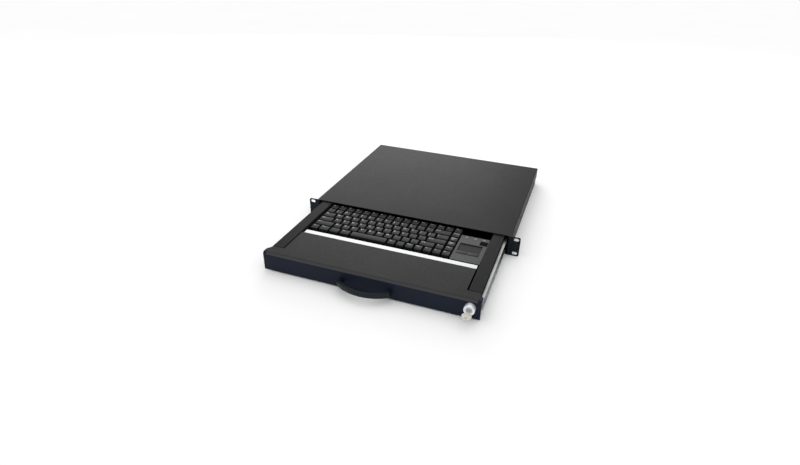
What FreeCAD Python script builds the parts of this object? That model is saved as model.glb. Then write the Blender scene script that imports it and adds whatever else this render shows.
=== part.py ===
import FreeCAD, Part
import Sketcher
import os
import re

# A 19 inch, one-unit keyboard drawer: a fixed sheet-metal case with rack ears, two ball-bearing
# slides, and a drawer that carries a keyboard, a touchpad, a palm rest, a bow handle and a lock.
# X runs to the right, Y back into the rack, Z up. The origin is the middle of the four rack slots,
# on the seating face of the ears. The drawer stands open.

os.makedirs("parts", exist_ok=True)
doc = FreeCAD.newDocument("rack_keyboard_drawer")

# Sizes that are set by hand, in millimetres.
SIZES = {
    # Sheet metal and the room around the drawer
    "sheet_gauge": 1.2, "bend_inside": 0.8, "tray_lift": 6.8, "tray_depth": 33.2, "deck_clear": 1.2,
    "rear_space": 19.5, "flange_drop": 24.8, "overcut": 5.0,
    # Rack ears
    "ear_gauge": 2.0, "ear_overhang": 18.8, "ear_corner": 4.0, "ear_leg_depth": 34.0,
    "ear_leg_short": 5.8, "ear_clearance": 0.6, "slot_inset": 8.75, "slot_pitch_up": 31.75,
    "slot_length": 11.0, "slot_width": 7.0,
    # Cable opening
    "cable_offset": 34.6, "cable_hole": 8.0, "cable_bore": 5.0, "grommet_lip": 2.4, "grommet_rim": 3.0,
    "grommet_fit": 0.1, "grommet_edge": 1.0,
    # Slides
    "slide_thickness": 12.7, "runner_half": 12.7, "runner_length": 332.0, "runner_setback": 1.0,
    "runner_flange": 5.1, "slide_setback": 2.0, "ball_radius": 1.5, "ball_play": 0.3,
    "ball_depth": 8.45, "cage_gauge": 0.6, "cage_margin": 12.0, "cage_web_depth": 3.4,
    "cage_reach": 9.0, "cage_slit": 3.8, "cage_end": 8.0, "bumper_length": 8.0, "bumper_gap": 0.5,
    "bumper_half": 8.0, "bumper_reach": 9.0,
    # Drawer front and deck
    "opening_travel": 235.0, "face_gauge": 1.5, "face_side_gap": 2.5, "face_edge": 1.0,
    "return_width": 7.1, "return_depth": 22.0, "wing_depth": 12.0, "wing_height": 11.0, "wing_fall": 6.0,
    "tray_rear_height": 12.0, "bar_width": 22.8, "bar_setback": 26.5, "bar_seam": 1.5, "bar_gap": 1.9,
    "rest_gap": 2.6, "rest_roll": 5.0, "roll_seam": 0.3, "palm_depth": 96.0, "strip_side_gap": 3.6,
    "strip_depth": 17.5, "strip_gauge": 1.5, "strip_drop": 3.5, "strip_edge": 0.5, "strip_gap": 10.5,
    # Handle
    "handle_pitch": 96.0, "handle_level": -4.0, "handle_post": 8.0, "handle_reach": 30.0,
    "handle_band": 6.0, "handle_shoulder": 13.0, "handle_height": 10.0, "handle_edge": 2.0,
    "handle_turn": 6.0, "handle_bite": 9.0,
    # Lock
    "lock_inset": 11.6, "lock_level": 3.2, "lock_flange": 10.0, "lock_proud": 11.0, "lock_chamfer": 1.2,
    "lock_body": 7.5, "lock_fit": 0.1, "lock_length": 13.4, "plug_radius": 5.5, "plug_play": 0.3,
    "plug_proud": 0.6, "plug_tail": 2.0, "nut_corner": 10.0, "nut_height": 3.0, "keyway_half": 4.2,
    "keyway_high": 1.2, "keyway_deep": 20.6, "key_play": 0.2, "key_bow": 8.6, "key_bow_ahead": 26.4,
    "key_eye": 2.5, "key_eye_ahead": 5.0, "key_notch": 1.4, "key_notch_pitch": 3.4, "cam_gauge": 2.0,
    "cam_engage": 2.7, "cam_half": 4.0, "cam_hub": 7.0, "cam_notch_play": 2.0, "plug_web": 1.4,
    "catch_gap": 0.6, "catch_gauge": 1.5, "catch_half": 8.0, "catch_foot": 12.0, "catch_clear": 0.6,
    # Keyboard
    "key_pitch": 19.05, "key_drop": 3.4, "cap_height": 6.5, "key_travel": 3.0, "skirt_clear": 0.5,
    "key_gap": 1.9, "cap_corner": 1.2, "cap_taper_side": 1.5, "cap_taper_front": 1.6,
    "cap_taper_back": 0.8, "cap_dish": 0.5, "stem_half": 2.8, "stem_below": 1.0, "guide_half": 3.0,
    "foot_clear": 0.3, "plate_gauge": 1.5, "board_rim": 0.7, "board_wall": 1.5, "membrane_gauge": 0.5,
    "membrane_play": 0.3, "boss_radius": 4.0, "boss_roof": 3.8, "logic_length": 60.0,
    "logic_width": 24.0, "logic_gauge": 1.6,
    # Touchpad panel
    "pad_gap": 0.9, "pad_width": 59.0, "pad_side_gap": 1.2, "pad_front_lap": 7.1, "pad_back_gap": 24.3,
    "pad_gauge": 1.6, "pad_edge": 1.0, "window_left_edge": 5.0, "window_right_edge": 8.0,
    "window_front_edge": 34.9, "window_back_edge": 31.0, "film_lap": 1.5, "film_body": 3.4,
    "board_gauge": 1.6, "board_front_edge": 4.0, "board_back_edge": 3.0, "button_gap": 1.0,
    "button_depth": 9.5, "button_land": 1.0, "button_split": 22.5, "button_play": 0.3,
    "button_proud": 0.4, "button_travel": 0.8, "button_clear": 0.2, "lamp_left_edge": 11.4,
    "lamp_right_edge": 10.6, "lamp_back_edge": 6.0, "lamp_long": 5.0, "lamp_wide": 2.0,
    "lamp_proud": 0.2, "recess_wide": 15.6, "recess_right_edge": 1.2, "recess_back_edge": 11.5,
    "recess_front_gap": 3.0, "recess_deep": 0.9,
    # Fasteners
    "screw_shank": 2.0, "screw_hole": 2.3, "screw_head": 3.6, "screw_head_high": 1.6,
    "thread_fit": 0.05, "stud_length": 6.0, "stud_nut_corner": 4.04, "stud_nut_high": 3.2,
    "stud_side_inset": 21.2, "stud_lock_inset": 45.8, "stud_top_inset": 9.0, "stud_floor_inset": 4.6,
    "ear_screw_back": 20.0, "ear_screw_up": 9.0, "cover_screw_front": 76.0, "cover_screw_rear": 71.0,
    "cover_screw_drop": 10.6, "slide_screw_front": 36.0, "slide_screw_rear": 23.5,
    "runner_screw_front": 20.0, "runner_screw_rear": 30.0,
}
# Levels and faces that follow from the sizes. The widths add up outward from the keyboard to the ears,
# the heights upward from the case floor and the depths back from the fascia.
LAYOUT = {
    "panel_half": "(2*sheet_gauge + tray_lift + tray_depth + deck_clear)/2",
    "floor_top": "sheet_gauge - panel_half",
    "cover_under": "panel_half - sheet_gauge",
    "bend_outside": "bend_inside + sheet_gauge",
    "tray_bottom": "floor_top + tray_lift",
    "tray_floor": "tray_bottom + sheet_gauge",
    "deck_top": "tray_bottom + tray_depth",
    "deck_under": "deck_top - sheet_gauge",
    "key_top": "deck_top - key_drop",
    "key_skirt": "key_top - cap_height",
    "plate_top": "key_skirt - key_travel - skirt_clear",
    "plate_under": "plate_top - plate_gauge",
    "stem_foot": "plate_under - stem_below",
    "membrane_top": "stem_foot - key_travel - foot_clear",
    "shelf_top": "membrane_top - membrane_gauge",
    "shelf_under": "shelf_top - board_wall",
    "boss_bite": "shelf_under - tray_floor - boss_roof",
    "pad_under": "key_top - pad_gauge",
    "board_top": "pad_under - film_body",
    "keys_width": "16*key_pitch",
    "bar_inner": "(bar_gap + 2*board_rim + keys_width + pad_gap + pad_width + pad_side_gap)/2",
    "keys_left": "bar_gap + board_rim - bar_inner",
    "keys_right": "keys_left + keys_width",
    "pad_left": "keys_right + board_rim + pad_gap",
    "pad_right": "pad_left + pad_width",
    "rest_half": "bar_inner - rest_gap",
    "strip_half": "bar_inner - strip_side_gap",
    "tray_half": "bar_inner + bar_width",
    "tray_in": "tray_half - sheet_gauge",
    "wall_in": "tray_half + slide_thickness",
    "wall_out": "wall_in + sheet_gauge",
    "case_half": "wall_out + sheet_gauge",
    "panel_side": "case_half + ear_overhang",
    "slot_side": "panel_side - slot_inset",
    "face_half": "tray_half + return_width",
    "ear_inner": "face_half + face_side_gap",
    "ear_leg_half": "panel_half - ear_leg_short",
    "cable_across": "bar_inner - cable_offset",
    "face_front": "-opening_travel - ear_gauge",
    "face_back": "face_front + face_gauge",
    "front_wall": "face_back + sheet_gauge",
    "roll_level": "deck_top - rest_roll",
    "roll_back": "face_front + rest_roll",
    "wing_back": "face_front + wing_depth",
    "return_back": "face_front + return_depth",
    "runner_front": "return_back + runner_setback",
    "tray_rear": "runner_front + runner_length",
    "slide_front": "return_depth - ear_gauge + slide_setback",
    "bumper_front": "tray_rear + opening_travel + bumper_gap",
    "slide_end": "bumper_front + bumper_length",
    "case_depth": "slide_end + rear_space",
    "slide_level": "tray_bottom + runner_half",
    "ball_seat": "ball_radius + ball_play",
    "ball_level": "runner_half + ball_seat",
    "curl_out": "ball_seat + sheet_gauge",
    "slide_half": "ball_level + curl_out",
    "cage_front": "slide_front + cage_margin",
    "cage_back": "tray_rear - cage_margin",
    "ball_first": "cage_front + cage_end",
    "ball_pitch": "(cage_back - cage_front - 2*cage_end)/4",
    "strip_front": "face_front + palm_depth",
    "strip_back": "strip_front + strip_depth",
    "strip_top": "deck_top - strip_drop",
    "keys_front": "strip_back + strip_gap",
    "keys_back": "keys_front + 6*key_pitch",
    "bar_front": "face_front + bar_setback",
    "bar_back": "tray_rear - sheet_gauge",
    "pad_front": "keys_front - pad_front_lap",
    "pad_back": "keys_back - pad_back_gap",
    "window_left": "pad_left + window_left_edge",
    "window_right": "pad_right - window_right_edge",
    "window_front": "pad_front + window_front_edge",
    "window_back": "pad_back - window_back_edge",
    "button_back": "window_front - button_gap",
    "button_front": "button_back - button_depth",
    "button_middle": "window_left + button_split",
    "lamp_first": "pad_left + lamp_left_edge",
    "lamp_pitch": "(pad_width - lamp_left_edge - lamp_right_edge)/2",
    "lamp_row": "pad_back - lamp_back_edge",
    "recess_right": "pad_right - recess_right_edge",
    "handle_out": "handle_pitch/2 + handle_post/2",
    "handle_in": "handle_pitch/2 - handle_post/2",
    "handle_rise": "handle_reach - handle_shoulder",
    "bow_outside": "(handle_out*handle_out + handle_rise*handle_rise)/(2*handle_rise)",
    "bow_inside": "(handle_in*handle_in + handle_rise*handle_rise)/(2*handle_rise)",
    "lock_across": "tray_half - lock_inset",
    "barrel_tail": "face_front + lock_length",
    "plug_front": "face_front - lock_proud - plug_proud",
    "cam_front": "barrel_tail + plug_tail",
    "cam_back": "cam_front + cam_gauge",
    "cam_reach": "lock_level - tray_bottom + cam_engage",
    "cam_screw_bite": "cam_front - plug_front - keyway_deep - plug_web - 2*thread_fit",
    "catch_back": "cam_front + opening_travel - catch_gap",
    "key_half": "keyway_half - key_play",
    "key_high": "keyway_high - key_play",
    "key_middle": "face_front - key_bow_ahead",
    "key_tip": "plug_front + keyway_deep - key_play",
    "board_left": "keys_left - board_rim",
    "board_right": "keys_right + board_rim",
    "board_front": "keys_front - board_rim",
    "board_back": "keys_back + board_rim",
    "stud_left": "stud_side_inset - tray_in",
    "stud_right": "lock_across - stud_lock_inset",
    "stud_up": "deck_under - stud_top_inset",
    "stud_low": "tray_floor + stud_floor_inset",
    "slide_screw_first": "slide_front + slide_screw_front",
    "slide_screw_pitch": "(bumper_front - slide_screw_rear - slide_screw_first)/2",
    "runner_screw_first": "runner_front + runner_screw_front",
    "runner_screw_pitch": "(runner_length - runner_screw_front - runner_screw_rear)/2",
    "cover_screw_level": "cover_under - cover_screw_drop",
    "cover_screw_near": "ear_leg_depth + cover_screw_front",
    "cover_screw_far": "case_depth - cover_screw_rear",
}
sheet = doc.addObject("Spreadsheet::Sheet", "Sizes")
for row, (name, value) in enumerate(SIZES.items(), 1):
    sheet.set("A%d" % row, name)
    sheet.set("B%d" % row, str(value))
    sheet.setAlias("B%d" % row, name)
doc.recompute()
layout = doc.addObject("App::VarSet", "Layout")


def bound(formula):
    """Formula text with every name pointed at the sheet or the layout."""
    def point(match):
        word = match.group(0)
        if word in SIZES:
            return "Sizes." + word
        return "Layout." + word if word in LAYOUT else word
    return re.sub(r"[a-z_]+", point, str(formula))


def number(formula):
    return float(layout.evalExpression(bound(formula)))


for name, formula in LAYOUT.items():
    layout.addProperty("App::PropertyFloat", name, "Layout")
    layout.setExpression(name, bound(formula))
doc.recompute()
nodes = []


def node(name, item):
    item.Label = name
    nodes.append(item)
    return item


def set_sizes(item, **formulas):
    for prop, formula in formulas.items():
        item.setExpression(prop, bound(formula))
    return item


# Solid features: a body is a list of pads, pockets and roundings on its own origin planes.
# A sketch plane is given by the axis that it is square to.
PLANES = {"X": "YZ_Plane", "Y": "XZ_Plane", "Z": "XY_Plane"}


def body():
    return doc.addObject("PartDesign::Body", "Body")


def origin_item(owner, role):
    return [item for item in owner.Origin.OriginFeatures if item.Role == role][0]


def bind(sketch, kind, place, formula):
    index = sketch.addConstraint(Sketcher.Constraint(kind, *place, number(formula)))
    sketch.setExpression("Constraints[%d]" % index, bound(formula))


def draw_circle(sketch, across, up, radius):
    curve = sketch.addGeometry(Part.Circle(FreeCAD.Vector(number(across), number(up), 0),
                                           FreeCAD.Vector(0, 0, 1), number(radius)))
    bind(sketch, "DistanceX", (-1, 1, curve, 3), across)
    bind(sketch, "DistanceY", (-1, 1, curve, 3), up)
    bind(sketch, "Radius", (curve,), radius)


def draw_outline(sketch, corners):
    """Closed outline. A corner is (across, up), or (across, up, radius, side) where an arc leads on."""
    dots = [FreeCAD.Vector(number(corner[0]), number(corner[1]), 0) for corner in corners]
    curves = []
    for here, corner in enumerate(corners):
        start, end = dots[here], dots[(here + 1) % len(dots)]
        shape = Part.LineSegment(start, end)
        if len(corner) > 2:
            chord = end - start
            radius = number(corner[2])
            rise = radius - max(radius ** 2 - (chord.Length / 2) ** 2, 0) ** 0.5
            left = FreeCAD.Vector(-chord.y, chord.x, 0).normalize()
            shape = Part.Arc(start, (start + end) * 0.5 + left * rise * corner[3], end)
        curves.append(sketch.addGeometry(shape))
    ends = {}
    for here, curve in enumerate(curves):
        for vertex in (1, 2):
            for dot in (here, (here + 1) % len(dots)):
                if sketch.getPoint(curve, vertex).distanceToPoint(dots[dot]) < 1e-6:
                    ends[curve, dot] = vertex
    for here, curve in enumerate(curves):
        before = curves[here - 1]
        sketch.addConstraint(Sketcher.Constraint("Coincident", before, ends[before, here], curve,
                                                 ends[curve, here]))
        bind(sketch, "DistanceX", (-1, 1, curve, ends[curve, here]), corners[here][0])
        bind(sketch, "DistanceY", (-1, 1, curve, ends[curve, here]), corners[here][1])
        if len(corners[here]) > 2:
            bind(sketch, "Radius", (curve,), corners[here][2])


def rectangle(left, right, low, high):
    return [(left, low), (right, low), (right, high), (left, high)]


def drawing(owner, axis, at, shapes):
    sketch = owner.newObject("Sketcher::SketchObject", "Sketch")
    sketch.AttachmentSupport = [(origin_item(owner, PLANES[axis]), "")]
    sketch.MapMode = "FlatFace"
    sketch.setExpression("AttachmentOffset.Base.z", bound("-(%s)" % at if axis == "Y" else at))
    for shape in shapes:
        if isinstance(shape, tuple):
            draw_circle(sketch, *shape)
        else:
            draw_outline(sketch, shape)
    return sketch


def pad(owner, axis, low, high, *shapes):
    """Material between two levels of an axis."""
    item = owner.newObject("PartDesign::Pad", "Pad")
    item.Profile = drawing(owner, axis, high if axis == "Y" else low, shapes)
    return set_sizes(item, Length="(%s) - (%s)" % (high, low))


def pocket(owner, axis, low, high, *shapes):
    """Opening between two levels of an axis, cut a little past both."""
    first = "(%s) - overcut" % low if axis == "Y" else "(%s) + overcut" % high
    item = owner.newObject("PartDesign::Pocket", "Pocket")
    item.Profile = drawing(owner, axis, first, shapes)
    return set_sizes(item, Length="(%s) - (%s) + 2*overcut" % (high, low))


def sink(owner, axis, mouth, depth, *shapes):
    """Blind opening from a mouth level, cut along -Z from above or along +Y from the front."""
    first = "(%s) - overcut" % mouth if axis == "Y" else "(%s) + overcut" % mouth
    item = owner.newObject("PartDesign::Pocket", "Recess")
    item.Profile = drawing(owner, axis, first, shapes)
    return set_sizes(item, Length="(%s) + overcut" % depth)


def straight(edge, axis, **places):
    """True for an edge along an axis whose other coordinates are among the given formulas."""
    spread = edge.BoundBox
    lengths = {"X": spread.XLength, "Y": spread.YLength, "Z": spread.ZLength}
    if any(length > 1e-4 for name, length in lengths.items() if name != axis):
        return False
    middle = edge.CenterOfMass
    return all(any(abs(getattr(middle, name) - number(formula)) < 1e-3 for formula in formulas)
               for name, formulas in places.items())


def rounded(owner, radius, axis, **places):
    doc.recompute()
    base = owner.Tip
    edges = ["Edge%d" % index for index, edge in enumerate(base.Shape.Edges, 1)
             if straight(edge, axis, **places)]
    item = owner.newObject("PartDesign::Fillet", "Rounding")
    item.Base = (base, edges)
    return set_sizes(item, Radius=radius)


def shelled(owner, gauge, *open_sides):
    """Hollow the body inward to a wall gauge, leaving the named sides open, such as +Z."""
    doc.recompute()
    base = owner.Tip
    whole = base.Shape.BoundBox
    sides = {"+Z": ("z", whole.ZMax), "-Z": ("z", whole.ZMin), "-Y": ("y", whole.YMin)}
    faces = []
    for index, face in enumerate(base.Shape.Faces, 1):
        spread = face.BoundBox
        for side in open_sides:
            name, level = sides[side]
            if max(abs(getattr(spread, name.upper() + "Min") - level),
                   abs(getattr(spread, name.upper() + "Max") - level)) < 1e-4:
                faces.append("Face%d" % index)
    item = owner.newObject("PartDesign::Thickness", "Shell")
    item.Base = (base, faces)
    item.Reversed = True
    item.Join = "Intersection"
    return set_sizes(item, Value=gauge)


def repeated(owner, features, axis, gap, count):
    item = owner.newObject("PartDesign::LinearPattern", "Row")
    item.Originals = features
    item.Direction = (origin_item(owner, axis + "_Axis"), [""])
    item.Occurrences = count
    set_sizes(item, Length="(%s)*%d" % (gap, count - 1))
    owner.Tip = item
    return item


# Simple stock: blocks, rods and hexagons for fasteners and boards.
TURN = {
    "X": FreeCAD.Rotation(FreeCAD.Vector(0, 1, 0), 90),
    "Y": FreeCAD.Rotation(FreeCAD.Vector(1, 0, 0), -90),
    "Z": FreeCAD.Rotation(),
}


def put(item, x, y, z, turn=None):
    item.Placement = FreeCAD.Placement(FreeCAD.Vector(), turn or FreeCAD.Rotation())
    for axis, formula in (("x", x), ("y", y), ("z", z)):
        item.setExpression("Placement.Base." + axis, bound(formula))
    return item


def block(x, y, z):
    item = doc.addObject("Part::Box", "Block")
    set_sizes(item, Length="(%s)-(%s)" % (x[1], x[0]), Width="(%s)-(%s)" % (y[1], y[0]),
              Height="(%s)-(%s)" % (z[1], z[0]))
    return put(item, x[0], y[0], z[0])


def rod(axis, x, y, z, radius, length):
    item = doc.addObject("Part::Cylinder", "Rod")
    return put(set_sizes(item, Radius=radius, Height=length), x, y, z, TURN[axis])


def nut(x, y, z, corner, height, bore):
    outside = doc.addObject("Part::Prism", "Hexagon")
    outside.Polygon = 6
    put(set_sizes(outside, Circumradius=corner, Height=height), x, y, z, TURN["Y"])
    item = doc.addObject("Part::Cut", "Nut")
    item.Base = outside
    item.Tool = rod("Y", x, "(%s) - overcut" % y, z, bore, "(%s) + 2*overcut" % height)
    return item


def grouped(*items):
    item = doc.addObject("Part::Compound", "Group")
    item.Links = list(items)
    return item


def mirrored(source):
    item = doc.addObject("Part::Mirroring", "Mirrored")
    item.Source = source
    item.Normal = FreeCAD.Vector(1, 0, 0)
    return item


def screw(axis, side, x, y, z, bite):
    """Round-headed screw. x, y, z: point under the head; side +1 or -1: the way that the head faces."""
    spots = []
    for length in (bite, "screw_head_high"):
        spot = {"X": x, "Y": y, "Z": z}
        backward = (side > 0) == (length == bite)
        spot[axis] = "(%s) - (%s)" % (spot[axis], length if backward else "0")
        spots.append((spot["X"], spot["Y"], spot["Z"]))
    item = doc.addObject("Part::Fuse", "Screw")
    item.Base = rod(axis, *spots[0], "screw_shank", bite)
    item.Tool = rod(axis, *spots[1], "screw_head", "screw_head_high")
    return item


EAR_SCREWS = [("ear_screw_back", "ear_screw_up"), ("ear_screw_back", "-ear_screw_up")]
COVER_SCREWS = [("cover_screw_near", "cover_screw_level"), ("cover_screw_far", "cover_screw_level")]
SLIDE_SCREWS = ["slide_screw_first + %d*slide_screw_pitch" % step for step in range(3)]
RUNNER_SCREWS = ["runner_screw_first + %d*runner_screw_pitch" % step for step in range(3)]
STUDS = [(across, up) for across in ("stud_left", "stud_right") for up in ("stud_low", "stud_up")]
BOARD_SCREWS = [("keys_left + %d*key_pitch" % across, "keys_front + %d*key_pitch" % along)
                for across in (1, 15) for along in (1, 5)]
HANDLE_FEET = ["-handle_pitch/2", "handle_pitch/2"]

# Base pan: floor, side walls and rear wall shelled from one block, with screw holes and a cable hole.
pan = body()
pad(pan, "Z", "-panel_half", "cover_under", rectangle("-wall_out", "wall_out", "0", "case_depth"))
shelled(pan, "sheet_gauge", "+Z", "-Y")
pocket(pan, "X", "-wall_out", "wall_out",
       *[(along, up, "screw_hole") for along, up in EAR_SCREWS + COVER_SCREWS],
       *[(along, "slide_level", "screw_hole") for along in SLIDE_SCREWS])
pocket(pan, "Y", "case_depth - sheet_gauge", "case_depth", ("-cable_across", "0", "cable_hole"))
node("base_pan", pan)

# Top cover: one sheet bent down over both side walls, notched at the front for the ear legs.
cover = body()
pad(cover, "Y", "0", "case_depth", [
    ("-case_half", "panel_half - flange_drop"), ("-wall_out", "panel_half - flange_drop"),
    ("-wall_out", "cover_under"),
    ("wall_out", "cover_under"), ("wall_out", "panel_half - flange_drop"),
    ("case_half", "panel_half - flange_drop"),
    ("case_half", "panel_half"), ("-case_half", "panel_half")])
rounded(cover, "bend_outside", "Y", x=["-case_half", "case_half"], z=["panel_half"])
pocket(cover, "X", "-case_half", "case_half",
       rectangle("-overcut", "ear_leg_depth + ear_clearance", "-panel_half",
                 "ear_leg_half + ear_clearance"))
pocket(cover, "X", "-case_half", "case_half", *[(along, up, "screw_hole") for along, up in COVER_SCREWS])
node("top_cover", cover)

# Rack ears: an angle with a slotted face plate, rounded at its outer corners, and a leg along the case.
ear = body()
pad(ear, "Z", "-panel_half", "panel_half", [
    ("ear_inner", "-ear_gauge"), ("panel_side", "-ear_gauge"), ("panel_side", "0"),
    ("wall_out + ear_gauge", "0"),
    ("wall_out + ear_gauge", "ear_leg_depth"), ("wall_out", "ear_leg_depth"), ("wall_out", "0"),
    ("ear_inner", "0")])
pocket(ear, "X", "wall_out", "wall_out + ear_gauge",
       rectangle("0", "ear_leg_depth + overcut", "ear_leg_half", "panel_half + overcut"),
       rectangle("0", "ear_leg_depth + overcut", "-panel_half - overcut", "-ear_leg_half"))
rounded(ear, "ear_corner", "Y", x=["panel_side"], z=["-panel_half", "panel_half"])
SLOT_STRAIGHT = "(slot_length - slot_width)/2"
SLOTS = ["-slot_pitch_up/2", "slot_pitch_up/2"]
pocket(ear, "Y", "-ear_gauge", "0", *[
    rectangle("slot_side - " + SLOT_STRAIGHT, "slot_side + " + SLOT_STRAIGHT,
              up + " - slot_width/2", up + " + slot_width/2") for up in SLOTS])
pocket(ear, "Y", "-ear_gauge", "0", *[
    (across, up, "slot_width/2") for up in SLOTS
    for across in ("slot_side - " + SLOT_STRAIGHT, "slot_side + " + SLOT_STRAIGHT)])
pocket(ear, "X", "wall_out", "wall_out + ear_gauge",
       *[(along, up, "screw_hole") for along, up in EAR_SCREWS])
node("right_rack_ear", ear)
node("left_rack_ear", mirrored(ear))
ear_screws = grouped(*[screw("X", 1, "wall_out + ear_gauge", along, up, "ear_gauge + sheet_gauge")
                       for along, up in EAR_SCREWS])
node("ear_screws", grouped(ear_screws, mirrored(ear_screws)))
cover_screws = grouped(*[screw("X", 1, "case_half", along, up, "2*sheet_gauge")
                         for along, up in COVER_SCREWS])
node("cover_screws", grouped(cover_screws, mirrored(cover_screws)))

# Cable grommet: a turned rubber ring whose groove holds the edge of the rear hole.
grommet = body()
ring = drawing(grommet, "Z", "0", [[
    ("cable_bore", "case_depth - sheet_gauge - grommet_lip"),
    ("cable_hole + grommet_rim - grommet_edge", "case_depth - sheet_gauge - grommet_lip"),
    ("cable_hole + grommet_rim", "case_depth - sheet_gauge - grommet_lip + grommet_edge"),
    ("cable_hole + grommet_rim", "case_depth - sheet_gauge"),
    ("cable_hole - grommet_fit", "case_depth - sheet_gauge"),
    ("cable_hole - grommet_fit", "case_depth"), ("cable_hole + grommet_rim", "case_depth"),
    ("cable_hole + grommet_rim", "case_depth + grommet_lip - grommet_edge"),
    ("cable_hole + grommet_rim - grommet_edge", "case_depth + grommet_lip"),
    ("cable_bore", "case_depth + grommet_lip")]])
ring.setExpression("AttachmentOffset.Base.x", bound("-cable_across"))
turned = grommet.newObject("PartDesign::Revolution", "Turned")
turned.Profile = ring
turned.ReferenceAxis = (ring, ["V_Axis"])
node("cable_grommet", grommet)


# Slides. Depths are measured inward from the case wall.
def inward(depth):
    return "wall_in - (%s)" % depth


def level(height):
    return "slide_level + (%s)" % height


# Fixed channel: a web with two lips that curl a quarter turn round the balls.
channel = body()
pad(channel, "Y", "slide_front", "slide_end", [
    (inward("0"), level("-slide_half")), (inward("0"), level("slide_half")),
    (inward("ball_depth"), level("slide_half"), "curl_out", -1),
    (inward("ball_depth + curl_out"), level("ball_level")),
    (inward("ball_depth + ball_seat"), level("ball_level"), "ball_seat", 1),
    (inward("ball_depth"), level("ball_level + ball_seat")),
    (inward("sheet_gauge"), level("ball_level + ball_seat")),
    (inward("sheet_gauge"), level("-ball_level - ball_seat")),
    (inward("ball_depth"), level("-ball_level - ball_seat"), "ball_seat", 1),
    (inward("ball_depth + ball_seat"), level("-ball_level")),
    (inward("ball_depth + curl_out"), level("-ball_level"), "curl_out", -1),
    (inward("ball_depth"), level("-slide_half"))])
pocket(channel, "X", inward("sheet_gauge"), "wall_in",
       *[(along, "slide_level", "screw_hole") for along in SLIDE_SCREWS])
node("right_slide_outer", channel)
node("left_slide_outer", mirrored(channel))

# Runner: the inner channel that is screwed to the drawer and rolls on the balls.
RUNNER_LIP = inward("slide_thickness - sheet_gauge - runner_flange")
RUNNER_WEB = inward("slide_thickness - sheet_gauge")
runner = body()
pad(runner, "Y", "runner_front", "tray_rear", [
    ("tray_half", level("-runner_half")), (RUNNER_LIP, level("-runner_half")),
    (RUNNER_LIP, level("sheet_gauge - runner_half")),
    (RUNNER_WEB, level("sheet_gauge - runner_half")), (RUNNER_WEB, level("runner_half - sheet_gauge")),
    (RUNNER_LIP, level("runner_half - sheet_gauge")), (RUNNER_LIP, level("runner_half")),
    ("tray_half", level("runner_half"))])
rounded(runner, "bend_outside", "Y", x=["tray_half"], z=[level("-runner_half"), level("runner_half")])
rounded(runner, "bend_inside", "Y", x=[RUNNER_WEB],
        z=[level("sheet_gauge - runner_half"), level("runner_half - sheet_gauge")])
pocket(runner, "X", "tray_half", RUNNER_WEB,
       *[(along, "slide_level", "screw_hole") for along in RUNNER_SCREWS])
node("right_slide_inner", runner)
node("left_slide_inner", mirrored(runner))

# Ball cage: a thin U strip with an open slit for every ball, and the balls that run in it.
CAGE_FLANGE = ("ball_level - cage_gauge/2", "ball_level + cage_gauge/2")
cage = body()
pad(cage, "Y", "cage_front", "cage_back", [
    (inward("cage_web_depth"), level("-ball_level - cage_gauge/2")),
    (inward("cage_web_depth"), level("ball_level + cage_gauge/2")),
    (inward("cage_reach"), level("ball_level + cage_gauge/2")),
    (inward("cage_reach"), level("ball_level - cage_gauge/2")),
    (inward("cage_web_depth + cage_gauge"), level("ball_level - cage_gauge/2")),
    (inward("cage_web_depth + cage_gauge"), level("cage_gauge/2 - ball_level")),
    (inward("cage_reach"), level("cage_gauge/2 - ball_level")),
    (inward("cage_reach"), level("-ball_level - cage_gauge/2"))])
slit = pocket(cage, "Z", level("-ball_level"), level("ball_level"),
              rectangle(inward("cage_reach + overcut"), inward("ball_depth - cage_slit/2"),
                        "ball_first - cage_slit/2", "ball_first + cage_slit/2"))
repeated(cage, [slit], "Y", "ball_pitch", 5)
node("right_ball_cage", cage)
node("left_ball_cage", mirrored(cage))
balls = []
for height in ("ball_level", "-ball_level"):
    for step in range(5):
        ball = set_sizes(doc.addObject("Part::Sphere", "Ball"), Radius="ball_radius")
        balls.append(put(ball, inward("ball_depth"), "ball_first + %d*ball_pitch" % step, level(height)))
ball_set = grouped(*balls)
node("slide_balls", grouped(ball_set, mirrored(ball_set)))

# Slide screws, and a rubber bumper behind each runner.
slide_screws = grouped(*[screw("X", -1, inward("sheet_gauge"), along, "slide_level", "2*sheet_gauge")
                         for along in SLIDE_SCREWS])
node("slide_outer_screws", grouped(slide_screws, mirrored(slide_screws)))
runner_screws = grouped(*[screw("X", 1, RUNNER_WEB, along, "slide_level", "2*sheet_gauge")
                          for along in RUNNER_SCREWS])
node("slide_inner_screws", grouped(runner_screws, mirrored(runner_screws)))
bumper = block((inward("bumper_reach"), inward("sheet_gauge")), ("bumper_front", "slide_end"),
               (level("-bumper_half"), level("bumper_half")))
node("slide_bumpers", grouped(bumper, mirrored(bumper)))

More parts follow.
